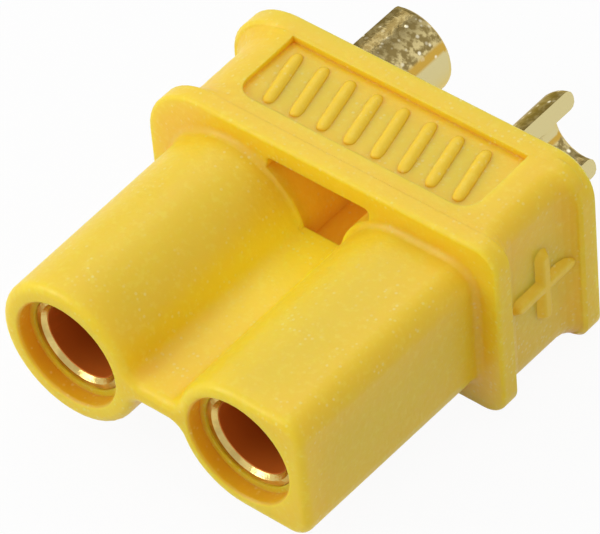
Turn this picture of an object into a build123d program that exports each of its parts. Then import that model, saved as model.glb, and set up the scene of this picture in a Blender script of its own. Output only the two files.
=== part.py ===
from build123d import *
import math
import os

# Socket half of a small two-pole battery connector: one moulded housing and two turned contacts.
# Origin on the mating face, midway between the two sockets. +X is the pole with the squared tube,
# +Y runs back to the solder cups and +Z is up through the thickness. Sizes are in millimetres.

# Driving sizes shared by the housing and the contacts
POLE_PITCH = 5.0
SOCKET_RADIUS = 1.0
CONTACT_RADIUS = 1.25
COLLAR_RADIUS = 1.45
CONTACT_FRONT_Y = 0.45
SHOULDER_DEPTH = 0.6
RADIAL_CLEARANCE = 0.02

# Mating section: two tubes and the web between them, measured where they meet the flange
TUBE_LENGTH = 6.0
TUBE_RADIUS = 1.97
SQUARE_REACH = 1.95
SQUARE_HALF_HEIGHT = 1.84
SQUARE_CORNER_RADIUS = 0.62
WEB_THICKNESS = 0.7
WEB_FOOT_RADIUS = 0.35
WEB_FOOT_LIMIT = 0.3
DRAFT_DEG = 0.6
FRONT_EDGE_RADIUS = 0.22
BASE_FILLET_RADIUS = 0.18

# Recess in front of each contact
RECESS_RADIUS = 1.42
RECESS_DEPTH = 0.41
RECESS_EDGE_CHAMFER = 0.06
LEAD_IN_DEG = 45.0

# Block behind the tubes: front rim, waist and rear rim, all keyed by one pair of large corners
RIM_OVERHANG = 0.63
FRONT_RIM_HEIGHT = 5.1
REAR_RIM_HEIGHT = 5.2
# Corner radii of each outline: both large corners, then the small one above and the small one below
FRONT_CORNER_RADII = (1.65, 0.62, 0.62)
REAR_CORNER_RADII = (1.65, 1.0, 0.55)
WAIST_CORNER_RADII = (1.95, 0.5, 0.72)
FRONT_RIM_THICKNESS = 0.55
WAIST_LENGTH = 2.45
REAR_RIM_THICKNESS = 0.6
RIM_EDGE_RADIUS = 0.1
RIM_EDGE_CHAMFER = 0.08
WAIST_SIDE_DEPTH = 0.36
WAIST_TOP_STEP = 0.01
WAIST_FRONT_SLOPE = 0.42
WAIST_REAR_SLOPE = 0.48
# Each step gives the way along the slope, from its rim, and the share of the full side depth reached there
WAIST_FRONT_STEPS = ((0.0, 0.35), (0.35, 0.8), (1.0, 1.0))
WAIST_REAR_STEPS = ((1.0, 1.0), (0.55, 0.9), (0.2, 0.65), (0.0, 0.35))

# Shallow panels on the top and underside of the waist
PANEL_DEPTH = 0.15
PANEL_LEFT_MARGIN = 2.0
PANEL_RIGHT_MARGIN = 1.4
PANEL_FRONT_MARGIN = 0.31
PANEL_REAR_MARGIN = 0.02
PANEL_CORNER_RADIUS = 0.5

# Core pockets in the flange face between the tubes, above and below a dividing plate
POCKET_HALF_WIDTH = 1.47
POCKET_HALF_HEIGHT = 2.0
POCKET_DEPTH = 2.3
POCKET_CORNER_RADIUS = 0.12
POCKET_LIP_ROUND = 0.04
POCKET_LIP_SQUARE = 0.12
POCKET_FLOOR_Z = -0.1
POCKET_PLATE_THICKNESS = 0.4

# Contact: socket bore, stop collar, locking ring and solder cup
SOCKET_DEPTH = 5.6
DRILL_TIP_DEG = 118.0
MOUTH_CHAMFER = 0.12
COLLAR_THICKNESS = 0.6
BARREL_RADIUS = 1.2
LOCK_RING_THICKNESS = 0.8
LOCK_RING_FLAT = 0.25
LOCK_RING_DEPTH = 0.5
CUP_RADIUS = 0.72
# How far the cup's bottom lies inside the rear face, and its cut and its end lie behind that face
CUP_BOTTOM_DEPTH = 0.1
CUP_CUT_CLEARANCE = 0.35
CUP_STAND_OUT = 2.85
CUP_EDGE_RADIUS = 0.2
CUP_EDGE_STEPS = 3
CUP_TURN_DEG = 17.0


def face_at(y):
    """Drawing plane facing the plug at depth y: sketch X is +X and sketch Y is +Z."""
    return Plane.XZ.offset(-y)


def pole_positions():
    """X of the round pole and of the squared pole."""
    return -POLE_PITCH / 2, POLE_PITCH / 2


def waist_ends():
    """Depths at which the waist leaves the front rim and meets the rear rim."""
    front = TUBE_LENGTH + FRONT_RIM_THICKNESS
    return front, front + WAIST_LENGTH


def rear_face_y():
    """Depth of the housing's rear face."""
    return waist_ends()[1] + REAR_RIM_THICKNESS


def shoulder_y():
    """Depth of the step that stops each contact, a little way into the flange."""
    return TUBE_LENGTH + SHOULDER_DEPTH


def depth_cylinder(x, radius, y_start, y_end):
    """Round bar along +Y, centred on one pole."""
    circle = face_at(y_start) * (Pos(x, 0) * Circle(radius))
    return extrude(circle, amount=-(y_end - y_start))


# Housing

def squared_section():
    """Section of the keyed tube: round towards the web, flat on top, underside and outer side."""
    right_half = Pos(SQUARE_HALF_HEIGHT, 0) * Rectangle(2 * SQUARE_HALF_HEIGHT, 4 * SQUARE_HALF_HEIGHT)
    round_side = Circle(SQUARE_HALF_HEIGHT) - right_half
    box = Pos(SQUARE_REACH / 2, 0) * Rectangle(SQUARE_REACH, 2 * SQUARE_HALF_HEIGHT)
    box = fillet(box.vertices().group_by(Axis.X)[-1], SQUARE_CORNER_RADIUS)
    return Pos(pole_positions()[1], 0) * (round_side + box)


def web_foot_radius():
    """Radius in the corners between web and tubes, held to a share of the gap between the tubes."""
    gap = POLE_PITCH - TUBE_RADIUS - SQUARE_HALF_HEIGHT
    return min(WEB_FOOT_RADIUS, WEB_FOOT_LIMIT * gap)


def mating_section():
    """Both tubes and the web as one drafted block with a soft front edge."""
    outline = Pos(pole_positions()[0], 0) * Circle(TUBE_RADIUS)
    outline += squared_section()
    outline += Rectangle(POLE_PITCH, WEB_THICKNESS)
    web_feet = [v for v in outline.vertices() if abs(v.Y) < WEB_THICKNESS]
    outline = fillet(web_feet, web_foot_radius())
    block = extrude(face_at(TUBE_LENGTH) * outline, amount=TUBE_LENGTH, taper=DRAFT_DEG)
    return fillet(front_edges(block), FRONT_EDGE_RADIUS)


def keyed_outline(width, height, corner_radii):
    """Outline with two large corners on the round pole's side and two small ones on the other."""
    large_radius, top_radius, bottom_radius = corner_radii
    outline = Rectangle(width, height)
    outline = fillet(outline.vertices().group_by(Axis.X)[0], large_radius)
    outline = fillet(outline.vertices().group_by(Axis.X)[-1].sort_by(Axis.Y)[-1], top_radius)
    return fillet(outline.vertices().group_by(Axis.X)[-1].sort_by(Axis.Y)[0], bottom_radius)


def rim_width():
    """Width of both rims: the round tubes' pitch and walls, and the overhang past them on each side."""
    return POLE_PITCH + 2 * (TUBE_RADIUS + RIM_OVERHANG)


def rim(y_front, thickness, outline):
    """One rim of the block, its rear edge broken by a small chamfer."""
    plate = extrude(face_at(y_front) * outline, amount=-thickness)
    return chamfer(plate.faces().sort_by(Axis.Y)[-1].edges(), RIM_EDGE_CHAMFER)


def front_edges(plate):
    """Edges of the foremost face."""
    return plate.faces().sort_by(Axis.Y)[0].edges()


def waist_outline(y, share):
    """Outline of the waist at depth y, its sides drawn in by a share from 0 to 1 of their full depth."""
    front, rear = waist_ends()
    rise = (REAR_RIM_HEIGHT - FRONT_RIM_HEIGHT) * (y - front) / (rear - front)
    width = rim_width() - 2 * WAIST_SIDE_DEPTH * share
    radii = [rim_radius + (waist_radius - rim_radius) * share
             for rim_radius, waist_radius in zip(FRONT_CORNER_RADII, WAIST_CORNER_RADII)]
    return keyed_outline(width, FRONT_RIM_HEIGHT + rise - 2 * WAIST_TOP_STEP, radii)


def waist():
    """Middle of the block: level with the rims above and below, its sides drawn in by a slope at each end."""
    front, rear = waist_ends()
    slopes = [(front + along * WAIST_FRONT_SLOPE, share) for along, share in WAIST_FRONT_STEPS]
    slopes += [(rear - along * WAIST_REAR_SLOPE, share) for along, share in WAIST_REAR_STEPS]
    inside_front = (front - FRONT_RIM_THICKNESS / 2, slopes[0][1])
    inside_rear = (rear + REAR_RIM_THICKNESS / 2, slopes[-1][1])
    steps = [inside_front, *slopes, inside_rear]
    sections = [face_at(y) * waist_outline(min(max(y, front), rear), share) for y, share in steps]
    return loft(sections, ruled=True)


def panels():
    """Shallow panel on the top of the waist, and its twin on the underside."""
    front, rear = waist_ends()
    front_y, rear_y = front + PANEL_FRONT_MARGIN, rear - PANEL_REAR_MARGIN
    left_x, right_x = PANEL_LEFT_MARGIN - rim_width() / 2, rim_width() / 2 - PANEL_RIGHT_MARGIN
    middle = Pos((left_x + right_x) / 2, (front_y + rear_y) / 2)
    outline = middle * Rectangle(right_x - left_x, rear_y - front_y)
    outline = fillet(outline.vertices().group_by(Axis.Y)[0], PANEL_CORNER_RADIUS)
    floor = FRONT_RIM_HEIGHT / 2 - PANEL_DEPTH
    upper = extrude(Plane.XY.offset(floor) * outline, amount=REAR_RIM_HEIGHT / 2 - floor)
    return upper + mirror(upper, about=Plane.XY)


def core_pockets():
    """Pockets cored out of the flange face between the two round walls, clear of the fillet at their foot."""
    opening = Rectangle(2 * POCKET_HALF_WIDTH, 2 * POCKET_HALF_HEIGHT)
    opening = fillet(opening.vertices(), POCKET_CORNER_RADIUS)
    plate_z = POCKET_FLOOR_Z - POCKET_PLATE_THICKNESS / 2
    opening -= Pos(0, plate_z) * Rectangle(4 * POCKET_HALF_WIDTH, POCKET_PLATE_THICKNESS)
    left_x, right_x = pole_positions()
    opening -= Pos(left_x, 0) * Circle(TUBE_RADIUS + POCKET_LIP_ROUND)
    opening -= Pos(right_x, 0) * Circle(SQUARE_HALF_HEIGHT + POCKET_LIP_SQUARE)
    pockets = extrude(face_at(TUBE_LENGTH) * opening, amount=-POCKET_DEPTH)
    mouths = opening - Rectangle(POLE_PITCH, WEB_THICKNESS)
    return pockets + extrude(face_at(TUBE_LENGTH) * mouths, amount=BASE_FILLET_RADIUS)


def with_base_fillet(body):
    """The tubes and web on the flange, with a fillet all round their foot."""
    flange = body.faces().filter_by(Axis.Y).sort_by(Axis.Y)[1]
    return body.fillet(BASE_FILLET_RADIUS, flange.inner_wires()[0].edges())


def contact_bore(x):
    """Recess, close bore and stepped rear bore that take one contact."""
    close_bore = depth_cylinder(x, CONTACT_RADIUS + RADIAL_CLEARANCE, 0, shoulder_y())
    rear_bore = depth_cylinder(x, COLLAR_RADIUS + RADIAL_CLEARANCE, shoulder_y(), rear_face_y())
    recess = depth_cylinder(x, RECESS_RADIUS, 0, RECESS_DEPTH)
    mouth = face_at(0) * (Pos(x, 0) * Circle(RECESS_RADIUS + RECESS_EDGE_CHAMFER))
    lead_in = extrude(mouth, amount=-2 * RECESS_EDGE_CHAMFER, taper=LEAD_IN_DEG)
    return close_bore + rear_bore + recess + lead_in


def housing():
    """The whole moulding."""
    front_outline = keyed_outline(rim_width(), FRONT_RIM_HEIGHT, FRONT_CORNER_RADII)
    rear_outline = keyed_outline(rim_width(), REAR_RIM_HEIGHT, REAR_CORNER_RADII)
    front_rim = rim(TUBE_LENGTH, FRONT_RIM_THICKNESS, front_outline)
    front_rim = fillet(front_edges(front_rim), RIM_EDGE_RADIUS)
    rear_rim = rim(waist_ends()[1], REAR_RIM_THICKNESS, rear_outline)
    rear_rim = chamfer(front_edges(rear_rim), RIM_EDGE_CHAMFER)
    body = with_base_fillet(mating_section() + front_rim) + waist() + rear_rim
    body = body - panels() - core_pockets()
    for x in pole_positions():
        body -= contact_bore(x)
    return body


# Contact

def cup_end_y():
    """Depth of the contact's rear end."""
    return rear_face_y() + CUP_STAND_OUT


def cup_rim_points():
    """Rounded end of the cup's wall, from its outer edge over to its inner one."""
    centre_y = cup_end_y() - CUP_EDGE_RADIUS
    outer_edge = (BARREL_RADIUS - CUP_EDGE_RADIUS, 0)
    inner_edge = (CUP_RADIUS + CUP_EDGE_RADIUS, 90)
    points = []
    for centre_radius, start_deg in (outer_edge, inner_edge):
        for step in range(CUP_EDGE_STEPS + 1):
            angle = math.radians(start_deg + 90 * step / CUP_EDGE_STEPS)
            points.append((centre_radius + CUP_EDGE_RADIUS * math.cos(angle),
                           centre_y + CUP_EDGE_RADIUS * math.sin(angle)))
    return points


def turned_outline():
    """Half section of the contact: sketch X is the radius and sketch Y is the depth."""
    tip = 1 / math.tan(math.radians(DRILL_TIP_DEG / 2))
    bore_end = CONTACT_FRONT_Y + SOCKET_DEPTH
    collar_end = shoulder_y() + COLLAR_THICKNESS
    ring_end = rear_face_y() - LOCK_RING_DEPTH
    cup_bottom = rear_face_y() - CUP_BOTTOM_DEPTH
    return Polyline(
        (0, bore_end + SOCKET_RADIUS * tip),
        (SOCKET_RADIUS, bore_end),
        (SOCKET_RADIUS, CONTACT_FRONT_Y + MOUTH_CHAMFER),
        (SOCKET_RADIUS + MOUTH_CHAMFER, CONTACT_FRONT_Y),
        (CONTACT_RADIUS, CONTACT_FRONT_Y),
        (CONTACT_RADIUS, shoulder_y()),
        (COLLAR_RADIUS, shoulder_y()),
        (COLLAR_RADIUS, collar_end),
        (BARREL_RADIUS, collar_end),
        (BARREL_RADIUS, ring_end - LOCK_RING_THICKNESS),
        (COLLAR_RADIUS, ring_end - LOCK_RING_FLAT),
        (COLLAR_RADIUS, ring_end),
        (BARREL_RADIUS, ring_end),
        *cup_rim_points(),
        (CUP_RADIUS, cup_bottom),
        (0, cup_bottom - CUP_RADIUS * tip),
        close=True,
    )


def cup_cut():
    """Block that opens the +X side of the solder cup."""
    length = 2 * (CUP_STAND_OUT - CUP_CUT_CLEARANCE)
    reach = 2 * BARREL_RADIUS
    block = Box(reach, length, 2 * reach)
    return Pos(reach / 2, rear_face_y() + CUP_CUT_CLEARANCE + length / 2, 0) * block


def contact(turn_deg):
    """One contact about the Y axis, with its cup turned by an angle from +X towards +Z."""
    turned = revolve(make_face(turned_outline()), axis=Axis.Y)
    piece = turned - cup_cut()
    return Rot(0, -turn_deg, 0) * piece


def contact_negative():
    """Contact of the round pole, its cup facing outwards and slightly down."""
    return Pos(pole_positions()[0], 0, 0) * contact(180 + CUP_TURN_DEG)


def contact_positive():
    """Contact of the squared pole, its cup facing outwards and slightly up."""
    return Pos(pole_positions()[1], 0, 0) * contact(CUP_TURN_DEG)


os.makedirs("parts", exist_ok=True)
NODES = {
    "housing": housing,
    "contact_negative": contact_negative,
    "contact_positive": contact_positive,
}
for name, make in NODES.items():
    export_step(make(), f"parts/{name}.step")
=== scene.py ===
import math
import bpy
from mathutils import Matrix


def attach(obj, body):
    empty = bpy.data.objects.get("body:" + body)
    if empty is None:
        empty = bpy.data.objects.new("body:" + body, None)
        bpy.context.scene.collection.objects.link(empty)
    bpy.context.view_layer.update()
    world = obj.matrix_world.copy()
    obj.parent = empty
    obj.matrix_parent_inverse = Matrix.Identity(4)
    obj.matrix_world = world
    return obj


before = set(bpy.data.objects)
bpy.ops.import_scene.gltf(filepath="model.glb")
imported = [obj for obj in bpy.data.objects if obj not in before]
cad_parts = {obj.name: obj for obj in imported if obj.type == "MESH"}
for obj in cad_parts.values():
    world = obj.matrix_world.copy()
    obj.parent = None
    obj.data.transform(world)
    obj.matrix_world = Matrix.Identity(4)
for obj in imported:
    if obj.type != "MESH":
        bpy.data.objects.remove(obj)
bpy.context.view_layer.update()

from types import SimpleNamespace

import bmesh
import bpy
from mathutils import Matrix, Vector

# Battery connector, socket half. Lengths are in millimetres unless a note says metres, and MM turns them
# to metres. Colours are linear.
MM = 0.001

# Places on the housing that the raised details sit on
PANEL_FLOOR_Z = 2.4
WAIST_SIDE_X = 4.74
SIGN_MIDDLE_Y = 7.95
FLOOR_Z = -2.6

# Row of slanted ribs on each panel
RIB_COUNT = 8
RIB_FIRST = (-2.3, 7.03)
RIB_PITCH = 0.78
RIB_LENGTH = 1.72
RIB_LEAN = 0.42
RIB_HALF_WIDTH = 0.17
RIB_HALF_HEIGHT = 0.12
RIB_SINK = 0.02
RIB_END_FULLNESS = 9.0
RIB_STATIONS = 36
RIB_SIDES = 20
MERGE_DISTANCE = 0.001

# Raised signs: strokes run along the housing first, then up, from the sign's middle
PLUS_STROKES = [((-0.9, 0.0), (0.9, 0.0)), ((0.0, -0.85), (0.0, 0.85))]
MINUS_STROKES = [((-0.7, 0.0), (0.7, 0.0))]
SIGN_HALF_WIDTH = 0.08
SIGN_FOOT = 0.16
SIGN_HEIGHT = 0.2
SIGN_EDGE_SINK = 0.012
SIGN_BASE_SINK = 0.05
SIGN_STEP = 0.025

# Recesses and core pockets, as on the housing. A fade is the width over which a tone sets in.
RECESS_RADIUS = 1.42
RECESS_DEPTH = 0.41
RECESS_FADE = (0.06, 0.01)
RECESS_FLOOR_MARGIN = 0.005
POCKET_SIDE_X = 1.5
POCKET_TOP_Z = 2.02
POCKET_FRONT_Y = 6.0
POCKET_END_Y = 8.35
POCKET_SIDE_FADE = 0.1
POCKET_FRONT_FADE = 0.4

# Where a painted glow stands in for light through the web and the valley beside it: none at the first
# value, all at the second
VALLEY_LEVEL = (1.6, 0.4)
VALLEY_ACROSS = (2.2, 0.9)
VALLEY_DEPTH = (0.3, POCKET_FRONT_Y)

# Contact, as on the CAD nodes
POLE_X = 2.5
SOCKET_RADIUS = 1.0
SOCKET_FADE = (0.02, 0.005)
SOCKET_END_Y = 7.0

# Nylon
NYLON_DEEP = (0.88, 0.575, 0.016, 1)
NYLON_PALE = (0.92, 0.625, 0.026, 1)
NYLON_MOTTLE = (0.95, 0.72, 0.08, 1)
NYLON_CORNER_SHADE = (0.80, 0.43, 0.007, 1)
NYLON_RECESS_SHADE = (0.72, 0.37, 0.008, 1)
NYLON_PAINTED_GLINT = (0.96, 0.82, 0.34, 1)
NO_LIGHT = (0, 0, 0, 1)
POCKET_PAINTED_GLOW = (0.085, 0.036, 0.003, 1)
WEB_PAINTED_GLOW = (0.11, 0.15, 0.004, 1)
NYLON_TRANSLUCENCE = 0.8
NYLON_ROUGHNESS = 0.42
NYLON_IOR = 1.45
SCATTER_RADII = (1.0, 0.68, 0.08)
SCATTER_LENGTH = 1.2
CORNER_SHADE_REACH = 0.8
SOFT_EDGE_RADIUS = 0.06
GRAIN_HEIGHT = 0.010
WAVE_HEIGHT = 0.012
NYLON_BUMP = 0.75

# Patterns of the nylon: cells per millimetre, the noise values between which a tone sets in, and its share
CLOUD_SCALE = 0.55
MOTTLE_SCALE, MOTTLE_RANGE, MOTTLE_SHARE = 5.0, (0.5, 0.72), 0.35
CORNER_SHADE_RANGE = (0.60, 0.2)
RECESS_SHADE_SHARE = 0.8
CROWD_SCALE, CROWD_RANGE, LEAST_CROWDED = 0.9, (0.38, 0.62), 0.15
GLINT_SCALE, GLINTS_LEFT_OUT, GLINT_RADIUS, PAINTED_GLINT_SHARE = 8.0, 0.45, 0.42, 0.45
GRAIN_SCALE = 8.0
WAVE_SCALE = 2.0
GRAIN_ROUGHNESS = 0.3
GLINT_SMOOTHNESS = 0.12

# Plating, its tones mostly painted reflections and painted shade. Angles go round the contact from +X
# towards +Z.
GOLD_MOTTLE_DARK_REFLECTION = (0.26, 0.19, 0.065, 1)
GOLD_MOTTLE_LIGHT_REFLECTION = (0.66, 0.54, 0.25, 1)
GOLD_PAINTED_DARK_REFLECTION = (0.12, 0.085, 0.03, 1)
GOLD_HOUSING_REFLECTION_LINE = (0.58, 0.36, 0.06, 1)
GOLD_PALE_REFLECTION = (0.66, 0.57, 0.28, 1)
GOLD_FRONT_REFLECTION = (0.72, 0.54, 0.18, 1)
GOLD_FRONT_DARK_PATCH = (0.34, 0.23, 0.07, 1)
GOLD_DIMPLE_GLINT = (0.98, 0.92, 0.70, 1)
GOLD_EDGE_TINT = (0.95, 0.8, 0.45, 1)
SOCKET_SHADE_COLOUR = (0.62, 0.16, 0.018, 1)
DARK_REFLECTION_ANGLE = 125.0
FLANK_ANGLE = -20.0
GOLD_ROUGHNESS = 0.2
TURNING_ROUGHNESS = 0.1
SOCKET_ROUGHNESS = 0.3
SOCKET_LESS_METALLIC = 0.6
TURNING_STRETCH = (0.15, 26.0, 0.15)
BLOTCH_HEIGHT = 0.020
DIMPLE_HEIGHT = 0.010
TURNING_HEIGHT = 0.004
GOLD_BUMP = 0.6

# Patterns of the plating, in the same terms. The other ranges are of how far a face looks one way.
BLOTCH_SCALE, BLOTCH_RANGE = 5.0, (0.42, 0.62)
DARK_REFLECTION_RAGGEDNESS, DARK_REFLECTION_RANGE, DARK_REFLECTION_SHARE = 0.6, (0.30, 0.85), 0.75
LINE_RANGE = (0.50, 0.58)
FLANK_RANGE = (0.66, 0.72)
FRONT_RANGE, FRONT_REFLECTION_SHARE = (-0.4, -0.7), 0.85
FRONT_PATCH_SCALE, FRONT_PATCH_RANGE, FRONT_PATCH_SHARE = 1.6, (0.42, 0.66), 0.55
DIMPLE_SCALE, DIMPLES_LEFT_OUT, DIMPLE_RADIUS = 5.0, 0.2, 0.34

# Shared by the finer patterns of both finishes
FINE_DETAIL, FINE_MIX = 3.0, 0.6
DOT_SOFTNESS = 0.3

# Camera, fitted to the photograph
CAMERA_PLACE = (60.4705, -58.6659, 87.5344)
CAMERA_RIGHT = (0.769753, 0.634621, -0.06883)
CAMERA_DOWN = (0.412217, -0.576509, -0.705489)
CAMERA_LOOK = (-0.487399, 0.514679, -0.705371)
CAMERA_LENS = 330.77
SENSOR_WIDTH = 36.0
CLIP_START, CLIP_END = 0.001, 10.0  # metres

# Studio. Soft boxes: name, place, edge length and power in watts.
SOFT_BOXES = [
    ("key_box", (-80.0, -75.0, 70.0), 70.0, 0.064),
    ("top_box", (-15.0, 10.0, 120.0), 70.0, 0.022),
    ("back_box", (-60.0, 66.0, 87.0), 45.0, 0.012),
]
LIGHT_TARGET = (0.0, 6.0, 0.0)
WORLD_LIGHT = 0.56
FLOOR_HALF_SIZE = 0.6  # metres
FLOOR_TONE = (0.8, 0.8, 0.8, 1)
FLOOR_WHITE_SHARE = 0.94
WHITE = (1, 1, 1, 1)


class Value:
    """A shader socket that takes part in sums, so that an expression adds its Math nodes."""

    def __init__(self, shader, socket):
        self.shader = shader
        self.socket = socket

    def math(self, operation, *others):
        node = self.shader.tree.nodes.new("ShaderNodeMath")
        node.operation = operation
        for slot, value in enumerate((self, *others)):
            self.shader.feed(node.inputs[slot], value)
        return Value(self.shader, node.outputs[0])

    def __add__(self, other):
        return self.math("ADD", other)

    __radd__ = __add__

    def __mul__(self, other):
        return self.math("MULTIPLY", other)

    __rmul__ = __mul__

    def __sub__(self, other):
        return self.math("SUBTRACT", other)

    def __rsub__(self, other):
        return (self * -1.0) + other

    def __pow__(self, other):
        return self.math("POWER", other)


class Tree:
    """One node tree, with a single method for every node that isn't plain maths."""

    def __init__(self, tree, family):
        self.tree = tree
        self.family = family
        self.tree.nodes.clear()

    def feed(self, socket, value):
        if isinstance(value, Value):
            self.tree.links.new(value.socket, socket)
        else:
            socket.default_value = value

    def node(self, kind, settings=None, sockets=None, out=0):
        node = self.tree.nodes.new(kind if "Node" in kind else self.family + kind)
        for key, value in (settings or {}).items():
            setattr(node, key, value)
        for key, value in (sockets or {}).items():
            self.feed(node.inputs[key], value)
        return Value(self, node.outputs[out]) if node.outputs else None


class Shader(Tree):
    """The node tree of a material or of the world."""

    def __init__(self, owner):
        owner.use_nodes = True
        super().__init__(owner.node_tree, "ShaderNode")

    def seen(self):
        """1 for what the camera sees straight on, in a reflection or through something clear."""
        kinds = ("Camera", "Glossy", "Transmission")
        rays = [self.node("LightPath", out=f"Is {kind} Ray") for kind in kinds]
        return rays[0].math("MAXIMUM", rays[1]).math("MAXIMUM", rays[2])

    def place(self, stretch=(1.0, 1.0, 1.0)):
        """Position on the object in millimetres, stretched along its axes."""
        position = self.node("TexCoord", out="Object")
        scale = tuple(part / MM for part in stretch)
        return self.node("VectorMath", {"operation": "MULTIPLY"}, {0: position, 1: scale})

    def noise(self, position, scale, detail=2.0, roughness=0.5):
        sockets = {"Vector": position, "Scale": scale, "Detail": detail, "Roughness": roughness}
        return self.node("TexNoise", None, sockets, out="Fac")

    def dots(self, position, scale, share_left_out, radius):
        """Small round dots at random places: 1 in the middle of each and 0 between them."""
        cells = {"Vector": position, "Scale": scale}
        middle = self.node("TexVoronoi", {"feature": "F1"}, cells, out="Distance")
        tint = self.node("TexVoronoi", {"feature": "F1"}, cells, out="Color")
        pick = self.node("SeparateColor", None, {"Color": tint}, out="Red")
        return self.step(pick, share_left_out, 1.0) * self.step(middle, radius, radius * DOT_SOFTNESS)

    def step(self, value, low, high):
        """Smooth step from 0 at low to 1 at high."""
        settings = {"interpolation_type": "SMOOTHSTEP", "clamp": True}
        sockets = {"Value": value, "From Min": low, "From Max": high}
        return self.node("MapRange", settings, sockets)

    def mix(self, factor, first, second):
        node = self.tree.nodes.new("ShaderNodeMix")
        node.data_type = "RGBA"
        self.feed(node.inputs["Factor"], factor)
        colours = [socket for socket in node.inputs if socket.type == "RGBA"]
        self.feed(colours[0], first)
        self.feed(colours[1], second)
        return Value(self, next(socket for socket in node.outputs if socket.type == "RGBA"))


def finish_surface(shader, sockets):
    """The Principled surface of a finish, wired to the material's output."""
    surface = shader.node("BsdfPrincipled", None, sockets)
    shader.node("OutputMaterial", None, {"Surface": surface})


def pole_place(shader):
    """Where a point lies: radius from the nearer pole's axis, distance across, depth and level."""
    x, y, z = (shader.node("SeparateXYZ", None, {"Vector": shader.place()}, out=axis) for axis in "XYZ")
    across = x.math("ABSOLUTE")
    radius = ((across - POLE_X) ** 2.0 + z * z) ** 0.5
    return SimpleNamespace(radius=radius, across=across, depth=y, level=z.math("ABSOLUTE"))


def inside_pocket(shader, at):
    """1 in the core pockets behind the flange face, where a painted glow stands in for light coming
    through the thin walls.
    """
    opening = shader.step(at.level, POCKET_TOP_Z + POCKET_SIDE_FADE, POCKET_TOP_Z) * shader.step(
        at.across, POCKET_SIDE_X + POCKET_SIDE_FADE, POCKET_SIDE_X)
    behind_face = shader.step(at.depth, POCKET_FRONT_Y, POCKET_FRONT_Y + POCKET_FRONT_FADE)
    return opening * behind_face * at.depth.math("LESS_THAN", POCKET_END_Y)


def thin_web(shader, at):
    """How much painted glow stands in for light through the thin web and the valley beside it, most
    towards the pocket.
    """
    valley = shader.step(at.level, *VALLEY_LEVEL) * shader.step(at.across, *VALLEY_ACROSS)
    return valley * shader.step(at.depth, *VALLEY_DEPTH) * at.depth.math("LESS_THAN", POCKET_FRONT_Y)


def recess_wall(shader, at):
    """1 on the wall of the recess in front of each contact, where shade is painted."""
    wall = shader.step(at.radius, RECESS_RADIUS + RECESS_FADE[0], RECESS_RADIUS + RECESS_FADE[1])
    return wall * at.depth.math("LESS_THAN", RECESS_DEPTH - RECESS_FLOOR_MARGIN)


def inside_socket(shader, at):
    """1 on the wall of a socket and 0 on the rest of the contact."""
    wall = shader.step(at.radius, SOCKET_RADIUS + SOCKET_FADE[0], SOCKET_RADIUS + SOCKET_FADE[1])
    return wall * at.depth.math("LESS_THAN", SOCKET_END_Y)


def yellow_nylon(name, translucence):
    """Satin moulded nylon: a fine spark-eroded grain with pale painted glints, painted shade in corners
    and on the recess walls, translucent by a given share, and where translucent a painted glow in the
    pockets and on the web.
    """
    material = bpy.data.materials.new(name)
    shader = Shader(material)
    place = shader.place()
    at = pole_place(shader)
    cloud = shader.noise(place, CLOUD_SCALE, FINE_DETAIL)
    colour = shader.mix(cloud, NYLON_DEEP, NYLON_PALE)
    mottle = shader.step(shader.noise(place, MOTTLE_SCALE, FINE_DETAIL, FINE_MIX), *MOTTLE_RANGE)
    colour = shader.mix(mottle * MOTTLE_SHARE, colour, NYLON_MOTTLE)
    # Painted shade: a darker, more orange tone where ambient occlusion finds corners and creases.
    open_share = shader.node("AmbientOcclusion", {"samples": 4}, {"Distance": CORNER_SHADE_REACH * MM}, out="AO")
    colour = shader.mix(shader.step(open_share, *CORNER_SHADE_RANGE), colour, NYLON_CORNER_SHADE)
    # Painted shade: a darker orange on the recess walls in front of the contacts.
    colour = shader.mix(recess_wall(shader, at) * RECESS_SHADE_SHARE, colour, NYLON_RECESS_SHADE)
    crowded = shader.step(shader.noise(place, CROWD_SCALE), *CROWD_RANGE)
    # Painted glints: pale dots painted into the colour, gathered in patches, and a little smoother too.
    painted_glints = shader.dots(place, GLINT_SCALE, GLINTS_LEFT_OUT, GLINT_RADIUS)
    painted_glints = painted_glints * (LEAST_CROWDED + crowded * (1.0 - LEAST_CROWDED))
    colour = shader.mix(painted_glints * PAINTED_GLINT_SHARE, colour, NYLON_PAINTED_GLINT)
    grain = shader.noise(place, GRAIN_SCALE, FINE_DETAIL, FINE_MIX)
    roughness = NYLON_ROUGHNESS + (grain - 0.5) * GRAIN_ROUGHNESS - painted_glints * GLINT_SMOOTHNESS
    relief = grain * GRAIN_HEIGHT + shader.noise(place, WAVE_SCALE) * WAVE_HEIGHT
    soft_edges = shader.node("Bevel", {"samples": 3}, {"Radius": SOFT_EDGE_RADIUS * MM})
    bump = shader.node("Bump", None, {
        "Strength": NYLON_BUMP, "Distance": MM, "Height": relief, "Normal": soft_edges})
    sockets = {"Base Color": colour, "Roughness": roughness, "Normal": bump, "IOR": NYLON_IOR}
    if translucence > 0:
        # Painted glow: emission that stands in for light coming through the thin walls and the web.
        painted_glow = shader.mix(inside_pocket(shader, at), NO_LIGHT, POCKET_PAINTED_GLOW)
        painted_glow = shader.mix(thin_web(shader, at), painted_glow, WEB_PAINTED_GLOW)
        sockets.update({
            "Subsurface Weight": translucence,
            "Subsurface Radius": SCATTER_RADII,
            "Subsurface Scale": SCATTER_LENGTH * MM,
            "Emission Color": painted_glow,
            "Emission Strength": 1.0,
        })
    finish_surface(shader, sockets)
    return material


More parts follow.
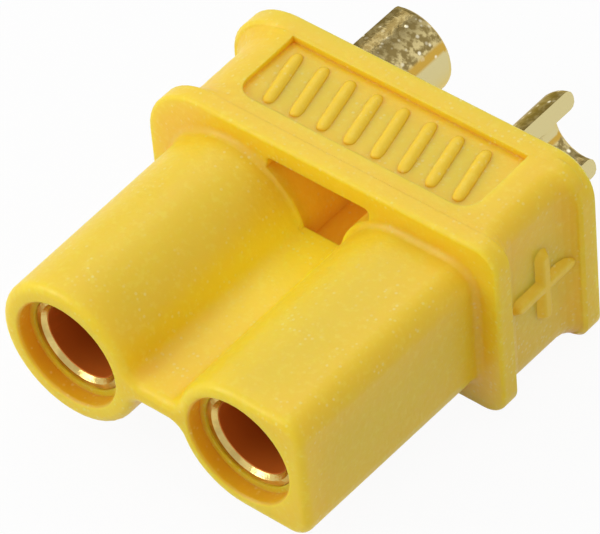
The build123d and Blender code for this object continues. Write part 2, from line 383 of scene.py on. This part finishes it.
def gold_plate():
    """Plated brass, its colour painted with reflections and shade: mottled, dark over the top, bright
    glints painted on the dimples, pale on the outer flank, deeper gold in front, and a red-brown socket of
    painted shade.
    """
    material = bpy.data.materials.new("gold_plate")
    shader = Shader(material)
    place = shader.place()
    facing = shader.node("TexCoord", out="Normal")

    def towards(degrees):
        """How far the surface faces one way round the contact, measured from +X towards +Z."""
        way = (math.cos(math.radians(degrees)), 0.0, math.sin(math.radians(degrees)))
        return shader.node("VectorMath", {"operation": "DOT_PRODUCT"}, {0: facing, 1: way}, out="Value")

    blotches = shader.noise(place, BLOTCH_SCALE, FINE_DETAIL, FINE_MIX)
    # Painted reflections: mottled dark and light gold in the colour, from the same blotches that give the
    # bump.
    colour = shader.mix(shader.step(blotches, *BLOTCH_RANGE), GOLD_MOTTLE_DARK_REFLECTION, GOLD_MOTTLE_LIGHT_REFLECTION)
    # Painted reflection: a dark tone with a ragged edge on faces turned up and to the left.
    ragged = (blotches - 0.5) * DARK_REFLECTION_RAGGEDNESS
    dark_reflection = shader.step(towards(DARK_REFLECTION_ANGLE) + ragged, *DARK_REFLECTION_RANGE)
    colour = shader.mix(dark_reflection * DARK_REFLECTION_SHARE, colour, GOLD_PAINTED_DARK_REFLECTION)
    to_flank = towards(FLANK_ANGLE)
    # Painted reflection: an orange-gold line where faces turn towards the flank, standing for the yellow
    # housing seen in the metal.
    colour = shader.mix(shader.step(to_flank, *LINE_RANGE), colour, GOLD_HOUSING_REFLECTION_LINE)
    # Painted reflection: pale gold on faces turned towards the outer flank.
    flank = shader.step(to_flank, *FLANK_RANGE)
    colour = shader.mix(flank, colour, GOLD_PALE_REFLECTION)
    along = shader.node("SeparateXYZ", None, {"Vector": facing}, out="Y")
    # Painted reflection: a deeper gold on the faces turned to the front.
    front = shader.step(along, *FRONT_RANGE)
    colour = shader.mix(front * FRONT_REFLECTION_SHARE, colour, GOLD_FRONT_REFLECTION)
    # Darker patches at random on the faces turned to the front.
    front_patches = shader.step(shader.noise(place, FRONT_PATCH_SCALE, FINE_DETAIL), *FRONT_PATCH_RANGE) * front
    colour = shader.mix(front_patches * FRONT_PATCH_SHARE, colour, GOLD_FRONT_DARK_PATCH)
    dimples = shader.dots(place, DIMPLE_SCALE, DIMPLES_LEFT_OUT, DIMPLE_RADIUS)
    dimples = dimples * (1 - flank) * (1 - front)
    # Painted glints: bright dots painted on the dimples, away from the pale and front faces.
    colour = shader.mix(dimples, colour, GOLD_DIMPLE_GLINT)
    socket = inside_socket(shader, pole_place(shader))
    # Painted shade: the socket wall is a deep red-brown, standing for the dim bore lit by the nylon around
    # it.
    colour = shader.mix(socket, colour, SOCKET_SHADE_COLOUR)
    turning = shader.noise(shader.place(TURNING_STRETCH), 1.0)
    roughness = GOLD_ROUGHNESS + (turning - 0.5) * TURNING_ROUGHNESS + socket * SOCKET_ROUGHNESS
    relief = blotches * BLOTCH_HEIGHT + dimples * DIMPLE_HEIGHT + turning * TURNING_HEIGHT
    relief = relief * (1 - socket)
    bump = shader.node("Bump", None, {"Strength": GOLD_BUMP, "Distance": MM, "Height": relief})
    finish_surface(shader, {
        "Base Color": colour,
        "Roughness": roughness,
        "Normal": bump,
        "Metallic": 1 - socket * SOCKET_LESS_METALLIC,
        "Specular Tint": GOLD_EDGE_TINT,
    })
    return material


def mesh_object(name, mesh, finish):
    """A finished piece that rides with the part."""
    piece = bpy.data.objects.new(name, mesh)
    bpy.context.scene.collection.objects.link(piece)
    mesh.materials.clear()
    mesh.materials.append(finish)
    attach(piece, "root")
    return piece


def distance_to_stroke(point, stroke):
    """Distance from a flat point to a straight stroke."""
    start, end = Vector(stroke[0]), Vector(stroke[1])
    along = end - start
    share = max(0.0, min(1.0, (point - start).dot(along) / along.length_squared))
    return (point - start - along * share).length


def raised_sign(name, strokes, to_space, finish):
    """A moulded sign: strokes with a flat crown and soft flanks, on a closed base sunk into the wall."""
    ends = [Vector(end) for stroke in strokes for end in stroke]
    margin = SIGN_HALF_WIDTH + SIGN_FOOT
    reach = [max(abs(end[axis]) for end in ends) + margin for axis in (0, 1)]
    half_counts = [math.ceil(length / SIGN_STEP) for length in reach]
    sign = bmesh.new()
    crown, base = {}, {}
    for column in range(-half_counts[0], half_counts[0] + 1):
        for row in range(-half_counts[1], half_counts[1] + 1):
            flat = Vector((column * SIGN_STEP, row * SIGN_STEP))
            distance = min(distance_to_stroke(flat, stroke) for stroke in strokes)
            if distance < margin + SIGN_STEP:
                share = max(0.0, min(1.0, (margin - distance) / SIGN_FOOT))
                rise = SIGN_HEIGHT * share * share * (3.0 - 2.0 * share) - SIGN_EDGE_SINK
                crown[column, row] = sign.verts.new(to_space(*flat, rise))
                base[column, row] = sign.verts.new(to_space(*flat, -SIGN_BASE_SINK))
    under = {crown[key]: base[key] for key in crown}
    for column, row in crown:
        keys = [(column, row), (column + 1, row), (column + 1, row + 1), (column, row + 1)]
        if all(key in crown for key in keys):
            sign.faces.new([crown[key] for key in keys])
            sign.faces.new([base[key] for key in reversed(keys)])
    rim = [edge.verts[:] for edge in sign.edges if edge.is_boundary and edge.verts[0] in under]
    for first, second in rim:
        sign.faces.new([first, second, under[second], under[first]])
    loose = [vert for vert in sign.verts if not vert.link_faces]
    bmesh.ops.delete(sign, geom=loose, context="VERTS")
    bmesh.ops.recalc_face_normals(sign, faces=sign.faces)
    mesh = bpy.data.meshes.new(name)
    sign.to_mesh(mesh)
    sign.free()
    mesh.shade_smooth()
    return mesh_object(name, mesh, finish)


def rib_tree(finish):
    """Geometry Nodes for a row of slanted ribs with round ends. Its inputs are in metres."""
    group = bpy.data.node_groups.new("rib_row", "GeometryNodeTree")
    group.interface.new_socket("Ribs", in_out="OUTPUT", socket_type="NodeSocketGeometry")
    group.interface.new_socket("Count", in_out="INPUT", socket_type="NodeSocketInt")
    for key in ("First", "Slant", "Pitch"):
        group.interface.new_socket(key, in_out="INPUT", socket_type="NodeSocketVector")
    for key in ("Half Width", "Half Height"):
        group.interface.new_socket(key, in_out="INPUT", socket_type="NodeSocketFloat")
    tree = Tree(group, "GeometryNode")
    entry = group.nodes.new("NodeGroupInput")
    size = {socket.name: Value(tree, socket) for socket in entry.outputs if socket.name}
    way = tree.node("SplineParameter", None, None, out="Factor")
    from_end = (way * 2.0 - 1.0).math("ABSOLUTE")
    half_width = size["Half Width"] * (1.0 - from_end ** RIB_END_FULLNESS) ** 0.5
    line = tree.node("CurvePrimitiveLine", None, {"End": size["Slant"]})
    line = tree.node("ResampleCurve", None, {"Curve": line, "Count": RIB_STATIONS})
    ring = tree.node("CurvePrimitiveCircle", None, {"Resolution": RIB_SIDES, "Radius": 1.0})
    rib = tree.node("CurveToMesh", None, {"Curve": line, "Profile Curve": ring, "Scale": half_width})
    rib = tree.node("MergeByDistance", None, {"Geometry": rib, "Distance": MERGE_DISTANCE * MM})
    flat = tree.node("ShaderNodeCombineXYZ", None, {
        "X": 1.0, "Y": 1.0, "Z": size["Half Height"].math("DIVIDE", size["Half Width"])})
    rib = tree.node("Transform", None, {"Geometry": rib, "Scale": flat})
    row = tree.node("MeshLine", {"mode": "OFFSET"}, {
        "Count": size["Count"], "Start Location": size["First"], "Offset": size["Pitch"]})
    ribs = tree.node("InstanceOnPoints", None, {"Points": row, "Instance": rib})
    ribs = tree.node("RealizeInstances", None, {"Geometry": ribs})
    ribs = tree.node("SetShadeSmooth", None, {"Geometry": ribs})
    ribs = tree.node("SetMaterial", None, {"Geometry": ribs, "Material": finish})
    tree.node("NodeGroupOutput", None, {"Ribs": ribs})
    return group


def rib_row(name, tree, side, finish):
    """Ribs on the upper panel (side 1) or on its twin below (side -1), as a plain mesh."""
    draft = bpy.data.objects.new(name + "_draft", bpy.data.meshes.new(name + "_draft"))
    bpy.context.scene.collection.objects.link(draft)
    modifier = draft.modifiers.new("ribs", "NODES")
    modifier.node_group = tree
    middle_z = side * (PANEL_FLOOR_Z - RIB_SINK)
    values = {
        "Count": RIB_COUNT,
        "First": Vector((*RIB_FIRST, middle_z)) * MM,
        "Slant": Vector((-RIB_LEAN, RIB_LENGTH, 0.0)) * MM,
        "Pitch": Vector((RIB_PITCH, 0.0, 0.0)) * MM,
        "Half Width": RIB_HALF_WIDTH * MM,
        "Half Height": RIB_HALF_HEIGHT * MM,
    }
    for socket in tree.interface.items_tree:
        if socket.in_out == "INPUT":
            modifier[socket.identifier] = values[socket.name]
    evaluated = draft.evaluated_get(bpy.context.evaluated_depsgraph_get())
    mesh = bpy.data.meshes.new_from_object(evaluated)
    mesh.name = name
    bpy.data.objects.remove(draft)
    return mesh_object(name, mesh, finish)


def place_camera():
    """Puts the fitted camera in the scene."""
    camera = bpy.data.objects.new("camera", bpy.data.cameras.new("camera"))
    bpy.context.scene.collection.objects.link(camera)
    camera.data.sensor_width = SENSOR_WIDTH
    camera.data.lens = CAMERA_LENS
    camera.data.clip_start = CLIP_START
    camera.data.clip_end = CLIP_END
    up = [-part for part in CAMERA_DOWN]
    back = [-part for part in CAMERA_LOOK]
    turn = Matrix((CAMERA_RIGHT, up, back)).transposed()
    camera.matrix_world = Matrix.Translation(Vector(CAMERA_PLACE) * MM) @ turn.to_4x4()
    bpy.context.scene.camera = camera


def soft_light(name, place, size, power):
    """Square white softbox aimed at the middle of the part."""
    lamp = bpy.data.lights.new(name, "AREA")
    lamp.shape = "SQUARE"
    lamp.size = size * MM
    lamp.energy = power
    holder = bpy.data.objects.new(name, lamp)
    bpy.context.scene.collection.objects.link(holder)
    holder.location = Vector(place) * MM
    aim = Vector(LIGHT_TARGET) * MM - holder.location
    holder.rotation_euler = aim.to_track_quat("-Z", "Y").to_euler()


def white_world():
    """White to the camera and in reflections, and an even, plain grey as light."""
    world = bpy.data.worlds.new("studio")
    bpy.context.scene.world = world
    shader = Shader(world)
    light = shader.node("Background", None, {"Color": WHITE, "Strength": WORLD_LIGHT})
    backdrop = shader.node("Background", None, {"Color": WHITE, "Strength": 1.0})
    both = shader.node("MixShader", None, {0: shader.seen(), 1: light, 2: backdrop})
    shader.node("OutputWorld", None, {"Surface": both})


def white_floor():
    """Pale floor that keeps a light shadow."""
    material = bpy.data.materials.new("white_floor")
    shader = Shader(material)
    matt = shader.node("BsdfDiffuse", None, {"Color": FLOOR_TONE})
    glow = shader.node("Emission", None, {"Color": WHITE, "Strength": 1.0})
    both = shader.node("MixShader", None, {0: shader.seen() * FLOOR_WHITE_SHARE, 1: matt, 2: glow})
    shader.node("OutputMaterial", None, {"Surface": both})
    floor = bmesh.new()
    bmesh.ops.create_grid(floor, x_segments=1, y_segments=1, size=FLOOR_HALF_SIZE)
    mesh = bpy.data.meshes.new("floor")
    floor.to_mesh(mesh)
    floor.free()
    mesh.transform(Matrix.Translation((0, 0, FLOOR_Z * MM)))
    mesh.materials.append(material)
    stage = bpy.data.objects.new("floor", mesh)
    bpy.context.scene.collection.objects.link(stage)


def dress_nodes(nylon, gold):
    """Puts the finishes on the CAD nodes."""
    for name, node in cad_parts.items():
        node.data.materials.clear()
        node.data.materials.append(nylon if name == "housing" else gold)


def side_place(side):
    """Turns a sign's flat place into space on one side of the waist: first along Y, then along Z."""
    def to_space(along, up, out):
        return Vector((side * (WAIST_SIDE_X + out), SIGN_MIDDLE_Y + along, up)) * MM
    return to_space


dress_nodes(yellow_nylon("yellow_nylon", NYLON_TRANSLUCENCE), gold_plate())
thin_nylon = yellow_nylon("thin_yellow_nylon", 0.0)
raised_sign("plus_sign", PLUS_STROKES, side_place(1), thin_nylon)
raised_sign("minus_sign", MINUS_STROKES, side_place(-1), thin_nylon)
ribs = rib_tree(thin_nylon)
rib_row("upper_ribs", ribs, 1, thin_nylon)
rib_row("lower_ribs", ribs, -1, thin_nylon)

place_camera()
white_world()
white_floor()
for name, place, size, power in SOFT_BOXES:
    soft_light(name, place, size, power)
bpy.context.scene.view_settings.view_transform = "Standard"
